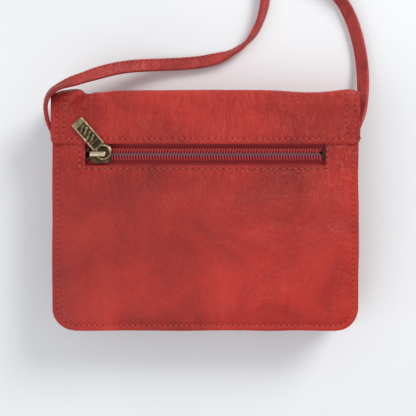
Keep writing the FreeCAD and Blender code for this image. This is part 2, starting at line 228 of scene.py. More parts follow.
def retinted(material, name, colours):
    """Copy of a material with other colours in its first ramp."""
    copy = material.copy()
    copy.name = name
    first_ramp = [n for n in copy.node_tree.nodes if n.type == "VALTORGB"][0].color_ramp
    for stop, colour in zip(first_ramp.elements, colours):
        stop.color = (*colour, 1)
    return copy


WRINKLE_LEVELS = [(0.34, 0.0), (0.46, 0.35), (0.5, 1.0), (0.54, 0.35), (0.68, 0.0)]
WRINKLE_FADE = (-0.012, 0.024)
WRINKLE_LEAST = 0.12


def leather_dye(nodes, links, place, blot, fine, tones):
    """Blotches in three tones, with a slow shade and fine specks over them."""
    dark, base, light = tones
    dye = ramp(nodes, links, blot, [(0.30, dark), (0.5, base), (0.72, light)])
    slow = noise_at(nodes, links, place, Scale=11.0, Detail=1.5, Roughness=0.5)
    shade = grey_ramp(nodes, links, slow.outputs["Fac"], 0.80, 1.05, (0.36, 0.6))
    speck = grey_ramp(nodes, links, fine, 0.82, 1.08, (0.35, 0.65))
    return multiply(nodes, links, multiply(nodes, links, dye, shade, 1.0), speck, 0.6)


def leather_grain(nodes, links, place, size, depth):
    """Pebbled grain, in cells about size millimetres wide whose walls wander a little."""
    warp = noise_at(nodes, links, place, Scale=300.0, Detail=2.0, Roughness=0.5)
    warped = add_node(nodes, "ShaderNodeVectorMath", operation="MULTIPLY_ADD")
    warped.inputs[1].default_value = (0.0009, 0.0009, 0.0009)
    links.new(warp.outputs["Color"], warped.inputs[0])
    links.new(place, warped.inputs[2])
    cells = add_node(nodes, "ShaderNodeTexVoronoi", Scale=1000.0 / size, Randomness=1.0)
    cells.feature = "DISTANCE_TO_EDGE"
    links.new(warped.outputs[0], cells.inputs["Vector"])
    pebble = grey_ramp(nodes, links, cells.outputs["Distance"], 0.0, 1.0, (0.0, 0.22))
    return bump_over(nodes, links, pebble, Strength=depth, Distance=0.00022).outputs["Normal"]


def leather_wrinkles(nodes, links, place, normal, strength):
    """Fine wrinkles, mostly up and down the bag, that fade out below its zip."""
    stretch = nodes.new("ShaderNodeMapping")
    stretch.inputs["Scale"].default_value = (260.0, 75.0, 160.0)
    links.new(place, stretch.inputs["Vector"])
    stretched = stretch.outputs["Vector"]
    creases = noise_at(nodes, links, stretched, Scale=1.0, Detail=6.0, Roughness=0.62, Distortion=1.2)
    ridges = ramp(nodes, links, creases.outputs["Fac"], [(at, (level,) * 3) for at, level in WRINKLE_LEVELS])
    height = nodes.new("ShaderNodeSeparateXYZ")
    links.new(place, height.inputs[0])
    upper = add_node(nodes, "ShaderNodeMapRange", interpolation_type="SMOOTHSTEP")
    upper.inputs["From Min"].default_value = WRINKLE_FADE[0]
    upper.inputs["From Max"].default_value = WRINKLE_FADE[1]
    upper.inputs["To Min"].default_value = WRINKLE_LEAST
    upper.inputs["To Max"].default_value = strength
    links.new(height.outputs["Y"], upper.inputs["Value"])
    ridge = bump_over(nodes, links, ridges, normal, Distance=0.00045)
    links.new(upper.outputs["Result"], ridge.inputs["Strength"])
    return ridge.outputs["Normal"]


def leather_material(name, tones, grain_size, grain_depth, rough=(0.30, 0.44), blotch=26.0):
    """Dyed leather: mottled colour, pebbled grain, fine wrinkles and a soft sheen."""
    material, nodes, links, shader = new_material(name)
    place = object_place(nodes)
    clouds = noise_at(nodes, links, place, Scale=blotch, Detail=5.0, Roughness=0.62, Distortion=0.6)
    specks = noise_at(nodes, links, place, Scale=420.0, Detail=4.0, Roughness=0.7)
    blot, fine = clouds.outputs["Fac"], specks.outputs["Fac"]
    links.new(leather_dye(nodes, links, place, blot, fine, tones), shader.inputs["Base Color"])
    links.new(grey_ramp(nodes, links, fine, rough[0], rough[1], (0.3, 0.7)), shader.inputs["Roughness"])
    grain = leather_grain(nodes, links, place, grain_size, grain_depth)
    wrinkled = leather_wrinkles(nodes, links, place, grain, 0.6)
    folds = bump_over(nodes, links, blot, wrinkled, Strength=0.7, Distance=0.0025)
    links.new(folds.outputs["Normal"], shader.inputs["Normal"])
    shader.inputs["Specular IOR Level"].default_value = 0.4
    return material


RED_TONES = ((0.31, 0.010, 0.006), (0.44, 0.017, 0.009), (0.54, 0.027, 0.014))
STRAP_TONES = ((0.30, 0.022, 0.018), (0.46, 0.034, 0.028), (0.56, 0.05, 0.04))
INNER_TONES = ((0.20, 0.014, 0.012), (0.33, 0.024, 0.02), (0.40, 0.034, 0.028))
red_leather = leather_material("red_leather", RED_TONES, 1.0, 0.5)
strap_leather = leather_material("strap_leather", STRAP_TONES, 0.8, 0.25, (0.38, 0.52), 60.0)
inner_leather = leather_material("inner_leather", INNER_TONES, 0.6, 0.15, (0.55, 0.7), 40.0)
thread_material = plain_material("thread", (0.50, 0.06, 0.04), 0.5)
# Near-black dimples between stitches: painted shade in the needle holes.
hole_shade_material = plain_material("needle_hole_shade", (0.045, 0.004, 0.004), 0.9)


# ---- the strap's route ----
# Given points, in metres: left end to the roll, and right end to the roll.
LEFT_ROUTE = [
    (-0.0888, 0.0340, 0.02185), (-0.0898, 0.0398, 0.02190), (-0.0926, 0.0456, 0.02260),
    (-0.0952, 0.0516, 0.02600), (-0.0960, 0.0580, 0.03080), (-0.0953, 0.0643, 0.03500),
    (-0.0922, 0.0697, 0.03790), (-0.0866, 0.0733, 0.03890), (-0.0788, 0.0764, 0.03780),
    (-0.0702, 0.0802, 0.03360), (-0.0614, 0.0846, 0.02680), (-0.0518, 0.0885, 0.01900),
    (-0.0414, 0.0910, 0.01200), (-0.0290, 0.0925, 0.00680), (-0.0150, 0.0936, 0.00420),
    (0.0000, 0.0952, 0.00360), (0.0146, 0.0992, 0.00380), (0.0262, 0.1066, 0.00400),
    (0.0334, 0.1168, 0.00420), (0.0374, 0.1290, 0.00420), (0.0392, 0.1428, 0.00420),
    (0.0398, 0.1576, 0.00420), (0.0397, 0.1730, 0.00420), (0.0395, 0.1880, 0.00420),
]
RIGHT_ROUTE = [
    (0.0888, 0.0340, 0.02185), (0.0896, 0.0406, 0.02200), (0.0922, 0.0480, 0.02120),
    (0.0956, 0.0572, 0.01780), (0.0986, 0.0684, 0.01220), (0.1002, 0.0816, 0.00700),
    (0.0998, 0.0956, 0.00440), (0.0972, 0.1100, 0.00400), (0.0928, 0.1236, 0.00400),
    (0.0862, 0.1354, 0.00420), (0.0768, 0.1436, 0.00420), (0.0654, 0.1478, 0.00420),
]
ROLL_CENTRE = Vector((0.084, 0.188, 0.0042))
ROLL_START_R = 0.032
ROLL_PITCH = 0.0068
ROLL_START_DEG = 318
ROLL_LEFT_DEG = 880
ROLL_RIGHT_DEG = 770
STRAP_WIDTH = 0.008
STRAP_THICK = 0.0026
STRAP_STEP = 0.0016
STRAP_STITCH_IN = -2.7 * MM


def roll_point(radius, degrees):
    angle = math.radians(degrees)
    return ROLL_CENTRE + Vector((radius * math.cos(angle), radius * math.sin(angle), 0))


def roll_radius(degrees):
    return ROLL_START_R + ROLL_PITCH * (degrees - ROLL_START_DEG) / 360


def roll_points():
    """The strap's two halves wound together, joined by an S-turn in the middle."""
    step = 20
    points = []
    for turn in range(ROLL_LEFT_DEG, ROLL_START_DEG, -step):
        points.append(roll_point(roll_radius(turn), turn))
    half = ROLL_START_R / 2
    inner = roll_point(half, ROLL_START_DEG)
    outer = roll_point(half, ROLL_START_DEG + 180)
    for part in range(0, 180, 30):
        angle = math.radians(ROLL_START_DEG - part)
        points.append(inner + half * Vector((math.cos(angle), math.sin(angle), 0)))
    for part in range(0, 180, 30):
        angle = math.radians(ROLL_START_DEG + part)
        points.append(outer + half * Vector((math.cos(angle), math.sin(angle), 0)))
    for turn in range(ROLL_START_DEG, ROLL_RIGHT_DEG + 1, step):
        points.append(roll_point(roll_radius(turn), turn + 180))
    return points


def smooth_line(name, controls):
    """Points along one smooth spline that the control points shape."""
    data = bpy.data.curves.new(name, "CURVE")
    data.dimensions = "3D"
    data.resolution_u = 8
    spline = data.splines.new("NURBS")
    spline.points.add(len(controls) - 1)
    for point, place in zip(spline.points, controls):
        point.co = (*place, 1)
    spline.order_u = 3
    spline.use_endpoint_u = True
    holder = bpy.data.objects.new(name, data)
    bpy.context.scene.collection.objects.link(holder)
    bpy.context.view_layer.update()
    mesh = bpy.data.meshes.new_from_object(holder)
    points = [v.co.copy() for v in mesh.vertices]
    bpy.data.objects.remove(holder)
    bpy.data.curves.remove(data)
    bpy.data.meshes.remove(mesh)
    return points


def even_steps(points, step):
    """The same line with points a fixed step apart, and each point's distance along it."""
    out = [points[0]]
    along = [0.0]
    carry = 0.0
    travelled = 0.0
    for a, b in zip(points, points[1:]):
        span = (b - a).length
        while carry + span >= step:
            share = (step - carry) / span
            a = a.lerp(b, share)
            span = (b - a).length
            travelled += step
            carry = 0.0
            out.append(a)
            along.append(travelled)
        carry += span
    out.append(points[-1])
    along.append(travelled + carry)
    return out, along


# The strap's lean about its own line, as (metres from its end, degrees): 0 lies flat, 90 stands on edge.
STRAP_LEAN_LEFT = [
    (0.0, 90), (0.014, 80), (0.030, 74), (0.046, 62), (0.060, 34), (0.078, 8), (0.125, -2),
    (0.150, 14), (0.168, 66), (0.188, 112), (0.207, 128), (0.237, 104), (0.262, 90),
]
STRAP_LEAN_RIGHT = [(0.0, 90), (0.014, 80), (0.032, 52), (0.060, 36), (0.095, 34), (0.118, 60), (0.140, 90)]


def from_table(table, x):
    """The table's value at x, eased between its rows."""
    if x <= table[0][0]:
        return table[0][1]
    for (x0, y0), (x1, y1) in zip(table, table[1:]):
        if x <= x1:
            return y0 + (y1 - y0) * smooth(x0, x1, x)
    return table[-1][1]


def strap_section(share):
    """Half-width and height of the folded strip's outline at a share of the way round."""
    angle = 2 * math.pi * share
    c, s = math.cos(angle), math.sin(angle)
    edge_power, face_power = 0.30, 0.62
    across = math.copysign(abs(c) ** edge_power, c) * STRAP_WIDTH / 2
    high = math.copysign(abs(s) ** face_power, s) * STRAP_THICK / 2
    stitch_groove = 1 - 0.2 * bump(across, -0.0026, 0.0005)
    return across, high * stitch_groove


def strap_frames(line, along):
    """Each point of the strap's line, with its directions ahead, across the width and out of the face."""
    total = along[-1]
    frames = []
    for i, p in enumerate(line):
        ahead = (line[min(i + 1, len(line) - 1)] - line[max(i - 1, 0)]).normalized()
        level = ahead.cross(Vector((0, 0, 1))).normalized()
        up = level.cross(ahead).normalized()
        if along[i] < total / 2:
            lean = from_table(STRAP_LEAN_LEFT, along[i])
        else:
            lean = 180 - from_table(STRAP_LEAN_RIGHT, total - along[i])
        angle = math.radians(lean)
        width = level * math.cos(angle) + up * math.sin(angle)
        frames.append((p, ahead, width, width.cross(ahead).normalized()))
    return frames


def make_strap():
    controls = [Vector(p) for p in LEFT_ROUTE] + roll_points() + [Vector(p) for p in reversed(RIGHT_ROUTE)]
    line, along = even_steps(smooth_line("strap_route", controls), STRAP_STEP)
    frames = strap_frames(line, along)

    def place(u, v):
        p, _, width, high = frames[round(u * (len(frames) - 1))]
        across, rise = strap_section(v)
        return p + width * across + high * rise

    strap = link_new("strap", sheet_mesh(len(frames) - 1, 18, place, closed=True), strap_leather)
    return strap, frames, line


# ---- camera, light and floor ----
CAMERA_HEIGHT = 0.42
VIEW_WIDTH = 0.2496
SENSOR_WIDTH = 36
# Name, place, size, power and tint.
LIGHTS = [
    ("window", (0.75, 0.80, 0.75), 0.55, 11.5, (1.0, 0.985, 0.96)),
    ("fill", (-0.8, -0.5, 1.1), 1.4, 10.0, (0.95, 0.97, 1.0)),
]


def make_camera():
    camera = bpy.data.objects.new("camera", bpy.data.cameras.new("camera"))
    camera.location = (0.0015, 0.0015, panel_hi.z + CAMERA_HEIGHT)
    camera.data.sensor_width = SENSOR_WIDTH
    camera.data.lens = SENSOR_WIDTH * CAMERA_HEIGHT / VIEW_WIDTH
    bpy.context.scene.collection.objects.link(camera)
    bpy.context.scene.camera = camera


def make_floor():
    bm = bmesh.new()
    bmesh.ops.create_grid(bm, x_segments=1, y_segments=1, size=3.0)
    floor_material, nodes, links, shader = new_material("floor")
    cloud = noise_at(nodes, links, object_place(nodes), Scale=5.0, Detail=2.0)
    tones = [(0.3, (0.80, 0.815, 0.83)), (0.7, (0.86, 0.87, 0.875))]
    links.new(ramp(nodes, links, cloud.outputs["Fac"], tones), shader.inputs["Base Color"])
    shader.inputs["Roughness"].default_value = 0.7
    floor = link_new("floor", bm, floor_material)


def make_lights():
    for name, spot, size, power, tint in LIGHTS:
        data = bpy.data.lights.new(name, "AREA")
        data.size = size
        data.energy = power
        data.color = tint
        lamp = bpy.data.objects.new(name, data)
        lamp.location = spot
        lamp.rotation_euler = (Vector((0, 0, 0)) - Vector(spot)).to_track_quat("-Z", "Y").to_euler()
        bpy.context.scene.collection.objects.link(lamp)
    world = bpy.data.worlds.new("studio")
    world.use_nodes = True
    sky = world.node_tree.nodes["Background"]
    sky.inputs["Color"].default_value = (0.93, 0.96, 1.0, 1)
    sky.inputs["Strength"].default_value = 0.46
    bpy.context.scene.world = world
    bpy.context.scene.view_settings.view_transform = "Standard"


make_camera()
make_floor()
make_lights()
strap, strap_stations, strap_path = make_strap()
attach(strap, "bag")
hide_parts("strap_left", "strap_right", "strap_roll")


# ---- back panel ----
def edge_distance(x, y):
    """How far a point of the bag's back lies inside its outline."""
    dx = HALF_W - abs(x)
    dy = y - BOTTOM_Y
    if dx < CORNER_R and dy < CORNER_R:
        return CORNER_R - math.hypot(CORNER_R - dx, CORNER_R - dy)
    return min(dx, dy)


def crease(x, y, start, end, width, depth):
    """Groove or ridge along a short line, fading at both ends; its ends and sizes are in millimetres."""
    ax, ay = start[0] * MM, start[1] * MM
    bx, by = end[0] * MM, end[1] * MM
    dx, dy = bx - ax, by - ay
    t = ((x - ax) * dx + (y - ay) * dy) / (dx * dx + dy * dy)
    near = min(max(t, 0.0), 1.0)
    away = math.hypot(x - ax - near * dx, y - ay - near * dy)
    fade = smooth(-0.15, 0.3, t) * (1 - smooth(0.7, 1.15, t))
    return depth * MM * fade * math.exp(-(away / (width * MM)) ** 2)


BACK_CREASES = [
    ((49.5, -66), (50.5, -40), 1.6, -0.45), ((47, -62), (46, -46), 2.4, 0.25),
    ((-72, -60), (-50, -50), 4.0, -0.3), ((-40, -66), (-20, -60), 3.0, 0.25),
    ((10, -30), (44, -22), 7.0, 0.35), ((-60, 10), (-30, -4), 7.0, -0.3),
    ((60, 0), (70, -30), 5.0, -0.35), ((-20, 14), (20, 10), 6.0, -0.25),
    ((20, -66), (38, -58), 3.0, -0.3),
]


def level_off(rise, cap):
    """Eases a rise off so that it never passes cap."""
    return cap * math.tanh(rise / cap) if rise > 0 else rise


def swell(x, y):
    """How far the stuffed bag stands out of its flat back; the pull's sweep stays clear."""
    inside = max(edge_distance(x, y) - 4.4 * MM, 0.0)
    dome = 2.8 * MM * (1 - math.exp(-inside / (8 * MM)))
    low = 1 - smooth(-10 * MM, 25 * MM, y)
    dents = (1.0 + 1.3 * low) * MM * ripple(x, y, 36 * MM, 3.1)
    dents += (0.35 + 0.25 * low) * MM * ripple(x, y, 14 * MM, 7.7)
    cap = (1.5 + 2.4 * (1 - smooth(0, 12 * MM, y))) * MM
    return level_off(dome + dents * smooth(4 * MM, 16 * MM, edge_distance(x, y)), cap)


def back_height(x, y):
    """How far the back's leather stands out of its nominal face, with its seams and creases."""
    inside = edge_distance(x, y)
    seam = -0.5 * MM * bump(inside, SEAM_MARGIN, 0.9 * MM) - 0.25 * MM * bump(inside, 0, 1.2 * MM)
    zip_away = max(abs(x) - WINDOW_HALF, WINDOW_BOTTOM - y, 0.0)
    press = math.exp(-(zip_away / (9 * MM)) ** 2)
    stitch = -0.3 * MM * bump(zip_away, 2.2 * MM, 0.7 * MM) if zip_away > 0 else 0
    rise = swell(x, y) * (1 - 0.55 * press)
    fine = 0.10 * MM * ripple(x, y, 4.5 * MM, 1.3) * smooth(3 * MM, 8 * MM, inside)
    return rise + seam + stitch + fine + sum(crease(x, y, *c) for c in BACK_CREASES)


def edge_wave(x, y):
    """Slight waviness of the sewn edge, outwards."""
    near = 1 - smooth(0, 14 * MM, edge_distance(x, y))
    return 0.45 * MM * near * (ripple(x, y, 22 * MM, 5.5) - 0.2)


def row_half_width(y, half, radius, bottom):
    """Half the width of a plate with rounded lower corners, at height y."""
    below = radius - (y - bottom)
    if below <= 0:
        return half
    return half - radius + math.sqrt(max(radius * radius - below * below, 0))


BACK_COLUMNS, BACK_ROWS = 184, 142
ROWS_BELOW_WINDOW = 98


def on_back(x, y):
    """Point of the back's leather over a place in its outline."""
    grow = 1 + edge_wave(x, y) / HALF_W
    return Vector((x * grow, y * (grow if y < 0 else 1), panel_hi.z + back_height(x, y)))


def back_place(u, v):
    """The back's grid, with a row along the window's lower edge."""
    below = ROWS_BELOW_WINDOW / BACK_ROWS
    if v < below:
        share = v / below
        y = BOTTOM_Y + (WINDOW_BOTTOM - BOTTOM_Y) * share ** 1.06
    else:
        y = WINDOW_BOTTOM + (panel_hi.y - WINDOW_BOTTOM) * (v - below) / (1 - below)
    return on_back((2 * u - 1) * row_half_width(y, HALF_W, CORNER_R, BOTTOM_Y), y)


def outside_window(u, v):
    p = back_place(u, v)
    return abs(p.x) > WINDOW_HALF or p.y < WINDOW_BOTTOM or p.y > WINDOW_TOP


def make_back():
    sheet = sheet_mesh(BACK_COLUMNS, BACK_ROWS, back_place, outside_window)
    back = link_new("back_leather", sheet, red_leather)
    thicken(back, LEATHER, 0.45 * MM)
    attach(back, "bag")
    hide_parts("back_panel")


make_back()


# ---- flap: one leather over the top, in two lengths that meet on the spine ----
FOLD_R = 3.6 * MM
HEM_STITCH_OUTER = 3.4 * MM
HEM_STITCH_INNER = 8.2 * MM
FLAP_SEAM = 3 * MM
TOP_RISE_START, TOP_RISE_END = 55 * MM, 66 * MM
REAR_RUN = (spine_hi.y - FOLD_R) - rear_lo.y
FOLD_RUN = FOLD_R * math.pi / 2
SPINE_RUN = rear_hi.z - 2 * FOLD_R
FLAP_RUN = (spine_hi.y - FOLD_R) - flap_lo.y
FLAP_TOTAL = REAR_RUN + 2 * FOLD_RUN + SPINE_RUN + FLAP_RUN
MID_SPINE = REAR_RUN + FOLD_RUN + SPINE_RUN / 2
FLAP_R = 22 * MM
EAR_CREASES = [
    ((-69.8, 74), (-79.5, 60), 1.3, -1.5), ((-76.5, 74), (-83.5, 61), 2.6, 1.1),
    ((-62, 75), (-72, 60), 3.4, 0.9), ((74, 72), (80, 64), 1.8, -0.6),
    ((-52, 70), (-50, 60), 1.4, 0.45), ((-30, 72), (-34, 61), 1.6, 0.4),
    ((14, 72), (10, 62), 1.3, -0.45), ((40, 71), (44, 60), 1.8, 0.45),
    ((60, 72), (57, 60), 1.4, -0.4),
]


def flap_line(run):
    """Place and outward direction, in the Y-Z plane, at a distance along the flap from its sewn edge."""
    y_fold = spine_hi.y - FOLD_R
    if run <= REAR_RUN:
        return rear_lo.y + run, rear_hi.z, 0.0, 1.0
    run -= REAR_RUN
    if run <= FOLD_RUN:
        angle = math.pi / 2 - run / FOLD_R
        return (y_fold + FOLD_R * math.cos(angle), rear_hi.z - FOLD_R + FOLD_R * math.sin(angle),
                math.cos(angle), math.sin(angle))
    run -= FOLD_RUN
    if run <= SPINE_RUN:
        return spine_hi.y, rear_hi.z - FOLD_R - run, 1.0, 0.0
    run -= SPINE_RUN
    if run <= FOLD_RUN:
        angle = -run / FOLD_R
        return (y_fold + FOLD_R * math.cos(angle), FOLD_R + FOLD_R * math.sin(angle),
                math.cos(angle), math.sin(angle))
    run -= FOLD_RUN
    return y_fold - run, 0.0, 0.0, -1.0


def flap_ribs(x, y, run):
    """Fine upright ribs of the pulled leather, in two sizes, fading out at the sewn edge."""
    narrow = noise.noise(Vector((x / (3.2 * MM), y / (14 * MM), 2.2))) * smooth(2 * MM, 8 * MM, run)
    wide = noise.noise(Vector((x / (8 * MM), y / (30 * MM), 5.2))) * smooth(4 * MM, 12 * MM, run)
    return 0.15 * MM * narrow + 0.22 * MM * wide


def flap_relief(x, y, run):
    """How far the flap's leather stands out of its nominal face."""
    side = rear_hi.x - abs(x)
    if run < REAR_RUN + FOLD_RUN:
        near_top = smooth(TOP_RISE_START, TOP_RISE_END, y)
        inward = smooth(0, 9 * MM, side)
        rise = (0.35 * MM + 0.9 * MM * near_top) * inward
        rise += 0.8 * MM * ripple(x, y, 26 * MM, 3.6) * near_top * inward
        hem = -0.28 * MM * (bump(side, HEM_STITCH_OUTER, 0.8 * MM) + bump(side, HEM_STITCH_INNER, 0.8 * MM))
        seam = -0.3 * MM * bump(run, FLAP_SEAM, 0.8 * MM) - 0.35 * MM * bump(run, 0, 1.0 * MM)
        return rise + hem + seam + flap_ribs(x, y, run) + sum(crease(x, y, *c) for c in EAR_CREASES)
    if run < REAR_RUN + FOLD_RUN + SPINE_RUN:
        into = run - REAR_RUN - FOLD_RUN
        sag = math.sin(math.pi * into / SPINE_RUN) * smooth(0, 20 * MM, side)
        return -1.1 * MM * sag + 0.25 * MM * ripple(x, into, 12 * MM, 8.8) * smooth(0, 6 * MM, side)
    return 0.0


def fold_edge(x):
    """Waviness of the top fold: the raised hem at the left, its notch, and the soft corners."""
    ear = 0.5 * MM * smooth(-88 * MM, -80 * MM, x) * (1 - smooth(-76 * MM, -72 * MM, x))
    notch = -2.7 * MM * bump(x, -70.4 * MM, 2.6 * MM) - 1.5 * MM * bump(x, -64 * MM, 7 * MM)
    corners = -1.4 * MM * (smooth(89 * MM, 92.6 * MM, x) + smooth(86 * MM, 92.6 * MM, -x))
    wave = 0.3 * MM * ripple(x, 0, 32 * MM, 4.4) + 0.3 * MM * bump(x, -5 * MM, 50 * MM) - 0.25 * MM
    hem = 0.9 * MM * bump(x, 86 * MM, 7 * MM) - 1.2 * MM * bump(x, 62 * MM, 16 * MM)
    return ear + notch + corners + wave + hem


def flap_place(u, v, run_start, run_end):
    run = run_start + (run_end - run_start) * v
    y, z, out_y, out_z = flap_line(run)
    half = rear_hi.x
    if run > REAR_RUN + 2 * FOLD_RUN + SPINE_RUN:
        half = row_half_width(y, half, FLAP_R, flap_lo.y)
    elif run < 4 * MM:
        half = row_half_width(y, half, 3 * MM, rear_lo.y)
    x = (2 * u - 1) * half
    rise = flap_relief(x, y, run)
    at_fold = bump(run, REAR_RUN + FOLD_RUN / 2, 9 * MM)
    outward = 0.25 * rise + fold_edge(x) * at_fold
    return Vector((x, y + out_y * outward, z + out_z * rise))


def make_flap():
    rear_sheet = sheet_mesh(185, 60, lambda u, v: flap_place(u, v, 0, MID_SPINE))
    front_sheet = sheet_mesh(185, 150, lambda u, v: flap_place(u, v, MID_SPINE, FLAP_TOTAL))
    rear = link_new("flap_leather_rear", rear_sheet, red_leather)
    front = link_new("flap_leather_front", front_sheet, red_leather)
    for piece in (rear, front):
        thicken(piece, LEATHER, 0.4 * MM)
    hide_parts("flap_rear")
    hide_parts("flap_spine", "flap_front")
    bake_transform(rear)
    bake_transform(front)


make_flap()


# ---- thread ----
def small_ball(name, material_index):
    """Ball of radius 1 with few faces, which is copied into rows of stitches."""
    bm = bmesh.new()
    bmesh.ops.create_uvsphere(bm, u_segments=6, v_segments=5, radius=1)
    mesh = bpy.data.meshes.new(name)
    for face in bm.faces:
        face.material_index = material_index
    bm.to_mesh(mesh)
    bm.free()
    return mesh


def add_copy(bm, mesh, place):
    """Adds a mesh at a place, and moves the mesh back after."""
    mesh.transform(place)
    bm.from_mesh(mesh)
    mesh.transform(place.inverted())


THREAD_BALL = small_ball("thread_ball", 0)
# Dimples of painted shade for the needle holes.
HOLE_SHADE_BALL = small_ball("hole_shade_ball", 1)


def stitch_row(bm, line, pitch, normal_at, thread=0.27, share=0.62, hole=0.42):
    """Small rounded stitches along a line of points, and between them dark dimples that paint the shade in
    the needle holes.

    thread and hole are half-widths in millimetres; share is the part of the pitch that a stitch fills.
    """
    spots, _ = even_steps(line, pitch)
    rng = random.Random(1)
    for spot in spots[:-1]:
        size = Matrix.Diagonal((hole * MM * rng.uniform(0.85, 1.15), hole * MM, 0.16 * MM, 1))
        add_copy(bm, HOLE_SHADE_BALL, Matrix.Translation(spot + normal_at(spot) * 0.05 * MM) @ size)
    for a, b in zip(spots, spots[1:]):
        run = b - a
        if run.length < pitch * 0.6:
            continue
        ahead = run.normalized()
        up = normal_at(a)
        side = up.cross(ahead).normalized()
        middle = (a + b) / 2 + side * rng.uniform(-0.06, 0.06) * MM + up * 0.10 * MM
        turn = Matrix((ahead, side, up)).transposed().to_4x4()
        size = Matrix.Diagonal((pitch * share / 2, thread * 1.15 * MM, thread * MM, 1))
        add_copy(bm, THREAD_BALL, Matrix.Translation(middle) @ turn @ size)


def straight(start, end, count, surface):
    """Points on a surface between two corners given in millimetres."""
    points = []
    for i in range(count + 1):
        x = (start[0] + (end[0] - start[0]) * i / count) * MM
        y = (start[1] + (end[1] - start[1]) * i / count) * MM
        points.append(surface(x, y))
    return points


def on_flap(x, y):
    return Vector((x, y, rear_hi.z + flap_relief(x, y, y - rear_lo.y)))


def upward(_):
    return Vector((0, 0, 1))


# Where the rows of stitches run, in millimetres on the bag's back.
PERIMETER_TOP = 38.6
WINDOW_ROW_LEFT, WINDOW_ROW_RIGHT = -75.3, 73.0
WINDOW_ROW_TOP = 38.8
WINDOW_ROW_BELOW = 1.8
HEM_ROW_TOP = 69.6
HEM_INNER_LOW, HEM_INNER_HIGH = 7.6, 9.0
# Their pitches, in metres.
PANEL_PITCH = 3.25 * MM
WINDOW_PITCH = 3.75 * MM
FLAP_PITCH = 3.55 * MM
SIDE_PITCH = 3.3 * MM
TACK_PITCH = 0.9 * MM


def perimeter_line():
    """The row of stitches round the sides and bottom of the back."""
    inset = SEAM_MARGIN / MM
    half, low, r = HALF_W / MM - inset, BOTTOM_Y / MM + inset, CORNER_R / MM - inset
    line = straight((-half, PERIMETER_TOP), (-half, low + r), 60, on_back)
    for side, start in ((-1, 180), (1, 270)):
        cx, cy = side * (half - r), low + r
        for step in range(0, 91, 6):
            angle = math.radians(start + step)
            line.append(on_back((cx + r * math.cos(angle)) * MM, (cy + r * math.sin(angle)) * MM))
        if side < 0:
            line += straight((-half + r, low), (half - r, low), 90, on_back)[1:]
    return line + straight((half, low + r), (half, PERIMETER_TOP), 60, on_back)[1:]


def make_panel_thread():
    """Perimeter seam, and the window's seam with a tack at each lower corner."""
    bm = bmesh.new()
    low = WINDOW_BOTTOM / MM - WINDOW_ROW_BELOW
    stitch_row(bm, perimeter_line(), PANEL_PITCH, upward)
    window_row = straight((WINDOW_ROW_LEFT, low), (WINDOW_ROW_RIGHT, low), 120, on_back)
    stitch_row(bm, window_row, WINDOW_PITCH, upward)
    for x, tack in ((WINDOW_ROW_LEFT, 3.0), (WINDOW_ROW_RIGHT, 1.8)):
        stitch_row(bm, straight((x, low), (x, WINDOW_ROW_TOP), 20, on_back), SIDE_PITCH, upward)
        for lane in (-0.4, 0.0, 0.4):
            row = straight((x + lane, low), (x + lane, low + tack), 6, on_back)
            stitch_row(bm, row, TACK_PITCH, upward, thread=0.3, share=1.0, hole=0.15)
    thread = link_new("panel_thread", bm, thread_material)
    thread.data.materials.append(hole_shade_material)
    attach(thread, "bag")


def make_flap_thread():
    """The flap's seam with its knot, and two rows in each side hem."""
    bm = bmesh.new()
    side = rear_hi.x / MM
    low = rear_lo.y / MM + FLAP_SEAM / MM
    stitch_row(bm, straight((-side + 2.2, low), (side - 1.6, low), 160, on_flap), FLAP_PITCH, upward)
    for sign in (-1, 1):
        outer_x = sign * (side - HEM_STITCH_OUTER / MM)
        outer = straight((outer_x, low), (outer_x, HEM_ROW_TOP), 30, on_flap)
        inner_low, inner_high = sign * (side - HEM_INNER_LOW), sign * (side - HEM_INNER_HIGH)
        inner = straight((inner_low, low), (inner_high, HEM_ROW_TOP), 30, on_flap)
        stitch_row(bm, outer, SIDE_PITCH, upward)
        stitch_row(bm, inner, SIDE_PITCH, upward)
    for i in range(3):
        knot = Vector(((side - 0.4 + 0.35 * i) * MM, (low + 0.2 * i) * MM, rear_hi.z - 0.2 * MM))
        place = Matrix.Translation(knot)
        bmesh.ops.create_uvsphere(bm, u_segments=6, v_segments=5, radius=0.5 * MM, matrix=place)
    thread = link_new("flap_thread", bm, thread_material)
    thread.data.materials.append(hole_shade_material)
    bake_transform(thread)


make_panel_thread()
make_flap_thread()


# Ball, share of the way to the next hole, and half-sizes in millimetres along, across and out; the hole ball
# is a dark dimple of painted shade.
STRAP_STITCH = [(THREAD_BALL, 0.5, 1.05, 0.3, 0.26), (HOLE_SHADE_BALL, 0.0, 0.35, 0.4, 0.16)]


def reach_on(line, spot, at):
    """Index of the point of a line nearest to spot, looking onwards from index at."""
    while at + 1 < len(line) and (line[at + 1] - spot).length < (line[at] - spot).length:
        at += 1
    return at


def make_strap_thread():
    """One row of stitches along the strap's face, near one edge."""
    bm = bmesh.new()
    line = []
    normals = []
    for p, _, width, high in strap_stations:
        line.append(p + width * STRAP_STITCH_IN + high * (STRAP_THICK / 2 - 0.16 * MM))
        normals.append(high)
    spots, _ = even_steps(line, SIDE_PITCH)
    at = 0
    for a, b in zip(spots, spots[1:]):
        at = reach_on(line, a, at)
        up = normals[at]
        ahead = (b - a).normalized()
        side = up.cross(ahead).normalized()
        turn = Matrix((ahead, side, ahead.cross(side))).transposed().to_4x4()
        for ball, share, half, wide, high in STRAP_STITCH:
            size = Matrix.Diagonal((half * MM, wide * MM, high * MM, 1))
            middle = a.lerp(b, share) + up * (0.08 * MM)
            add_copy(bm, ball, Matrix.Translation(middle) @ turn @ size)
    row = link_new("strap_thread", bm, thread_material)
    row.data.materials.append(hole_shade_material)
    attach(row, "bag")
    return row


strap_thread = make_strap_thread()


# ---- zip ----
COIL_HEIGHT = coil_up_hi.z - coil_up_lo.z
TOOTH_PITCH = 1.665 * MM
COIL_WIRE_R = 0.46 * MM
COIL_OVERLAP = 0.35 * MM
STEPS_PER_TURN = 14


